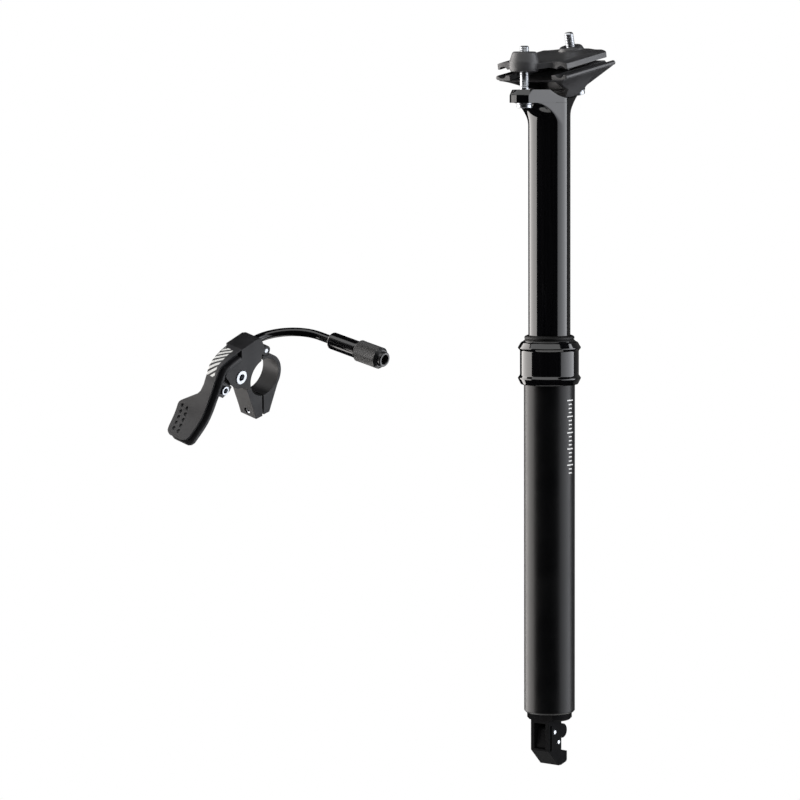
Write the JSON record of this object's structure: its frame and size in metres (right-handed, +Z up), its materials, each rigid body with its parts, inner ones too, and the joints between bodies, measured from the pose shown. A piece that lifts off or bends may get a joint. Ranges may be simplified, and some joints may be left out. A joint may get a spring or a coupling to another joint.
{
  "type": "dropper seatpost",
  "caption": "Telescoping bicycle seatpost with a two-bolt saddle clamp, gas spring and cable actuator, with its handlebar thumb remote beside it.",
  "frame": {"origin": "on the post's axis at the underside of the seal collar, where the frame's seat tube ends", "axes": "+Z up along the post, +X to the front of the bicycle, +Y to its left"},
  "size_m": [0.3467, 0.1038, 0.4554],
  "materials": {
    "gloss_black_anodised": "gloss black anodised",
    "satin_black_anodised": "satin black anodised",
    "forged_black": "bead-blasted black anodised forging",
    "machined_black": "satin dark grey anodised",
    "cast_grey": "cast dark grey",
    "zinc_steel": "bright zinc-plated steel",
    "hard_chrome_steel": "ground hard-chromed steel",
    "black_steel_tube": "gloss black tube",
    "seal_rubber": "moulded nitrile rubber",
    "bearing_polymer": "filled bearing polymer",
    "brass": "machined brass",
    "bare_aluminium": "bare turned aluminium"
  },
  "bodies": {
    "outer_post": {"outer_tube": "satin_black_anodised", "seal_collar": "gloss_black_anodised", "wiper_seal": "seal_rubber", "upper_bushing": "bearing_polymer", "bottom_plug": "satin_black_anodised", "piston_rod": "hard_chrome_steel", "rod_piston": "bare_aluminium", "piston_seal": "seal_rubber", "actuator_bracket": "cast_grey", "actuator_pivot_pin": "zinc_steel", "actuator_cross_pin": "zinc_steel", "remote_body": "machined_black", "remote_clamp_cap": "machined_black", "remote_hinge_pin": "zinc_steel", "remote_pinch_bolt": "zinc_steel", "remote_pivot_bolt": "zinc_steel", "cable_noodle": "black_steel_tube", "noodle_ferrule": "satin_black_anodised"},
    "inner_post": {"stanchion": "gloss_black_anodised", "lower_bushing": "bearing_polymer", "guide_keys": "brass", "gas_cartridge": "bare_aluminium", "cartridge_gland": "bare_aluminium", "cartridge_cap": "bare_aluminium", "retaining_ring": "zinc_steel", "front_clamp_bolt": "zinc_steel", "rear_clamp_bolt": "zinc_steel", "clamp_bolt_washers": "zinc_steel"},
    "rail_clamp": {"lower_cradle": "forged_black", "upper_yoke": "forged_black"},
    "actuator_lever": {"actuator_lever": "cast_grey", "cable_end_barrel": "zinc_steel"},
    "valve_pin": {"valve_pin": "zinc_steel"},
    "thumb_lever": {"thumb_lever": "machined_black", "lever_bushing": "brass", "cable_clamp_screw": "zinc_steel"},
    "barrel_adjuster": {"barrel_adjuster": "satin_black_anodised"}
  },
  "joints": [
    {"name": "post_drop", "type": "slide", "parent": "outer_post", "child": "inner_post", "axis": [0, 0, 1], "range_m": [-0.125, 0], "stiffness_N_per_m": 300, "springref_m": 0.4},
    {"name": "saddle_tilt", "type": "hinge", "parent": "inner_post", "child": "rail_clamp", "pos_m": [-0.004, 0, 0.2064], "axis": [0, 1, 0], "range_deg": [-6, 6]},
    {"name": "thumb_press", "type": "hinge", "parent": "outer_post", "child": "thumb_lever", "pos_m": [0.28365, -0.00546, 0.02472], "axis": [0, 0.9613, -0.2756], "range_deg": [0, 22], "stiffness_Nm_per_rad": 0.4, "springref_deg": -17.19},
    {"name": "actuator_swing", "type": "hinge", "parent": "outer_post", "child": "actuator_lever", "pos_m": [0.0035, 0, -0.217], "axis": [0, 1, 0], "range_deg": [0, 14]},
    {"name": "valve_lift", "type": "slide", "parent": "outer_post", "child": "valve_pin", "axis": [0, 0, 1], "range_m": [0, 0.00077]},
    {"name": "adjuster_turn", "type": "hinge", "parent": "outer_post", "child": "barrel_adjuster", "pos_m": [0.24754, 0.05523, 0.03819], "axis": [0.0158, 0.9737, -0.2273], "continuous": true}
  ],
  "couplings": [
    {"joint": "actuator_swing", "follows": "thumb_press", "ratio": 0.63635},
    {"joint": "valve_lift", "follows": "thumb_press", "m_per_rad": 0.0020053}
  ]
}
